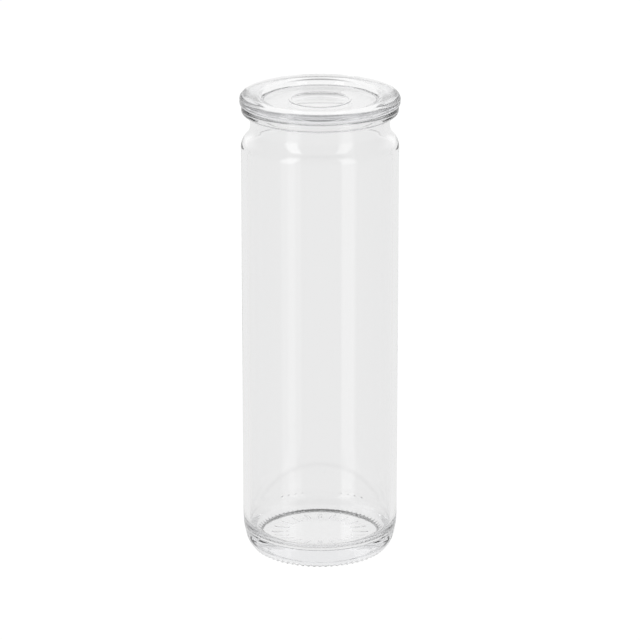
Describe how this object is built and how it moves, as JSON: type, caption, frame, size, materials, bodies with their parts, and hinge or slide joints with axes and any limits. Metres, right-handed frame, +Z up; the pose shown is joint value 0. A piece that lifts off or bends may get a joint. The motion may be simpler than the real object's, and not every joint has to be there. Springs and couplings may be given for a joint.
{
  "type": "specimen jar",
  "caption": "Tall round clear-glass specimen jar with a recessed loose glass lid, a flat clear seal ring, a flanged rim and a knurled foot.",
  "frame": {"origin": "centre of the foot ring, on the plane that the jar stands on", "axes": "+Z up along the jar's axis of revolution, +Y towards the back, where the row of mould dots is"},
  "size_m": [0.0702, 0.0702, 0.2099],
  "materials": {
    "jar_glass": "clear, fire-polished, faintly wavy",
    "lid_glass": "clear, pressed",
    "seal_rubber": "translucent clear silicone, satin"
  },
  "bodies": {
    "jar": {"jar_body": "jar_glass"},
    "seal": {"seal_ring": "seal_rubber"},
    "lid": {"lid": "lid_glass"}
  },
  "joints": [
    {"name": "ring_lift", "type": "slide", "parent": "jar", "child": "seal", "axis": [0, 0, 1], "range_m": [0, 0.03]},
    {"name": "lid_lift", "type": "slide", "parent": "seal", "child": "lid", "axis": [0, 0, 1], "range_m": [0, 0.09]}
  ]
}
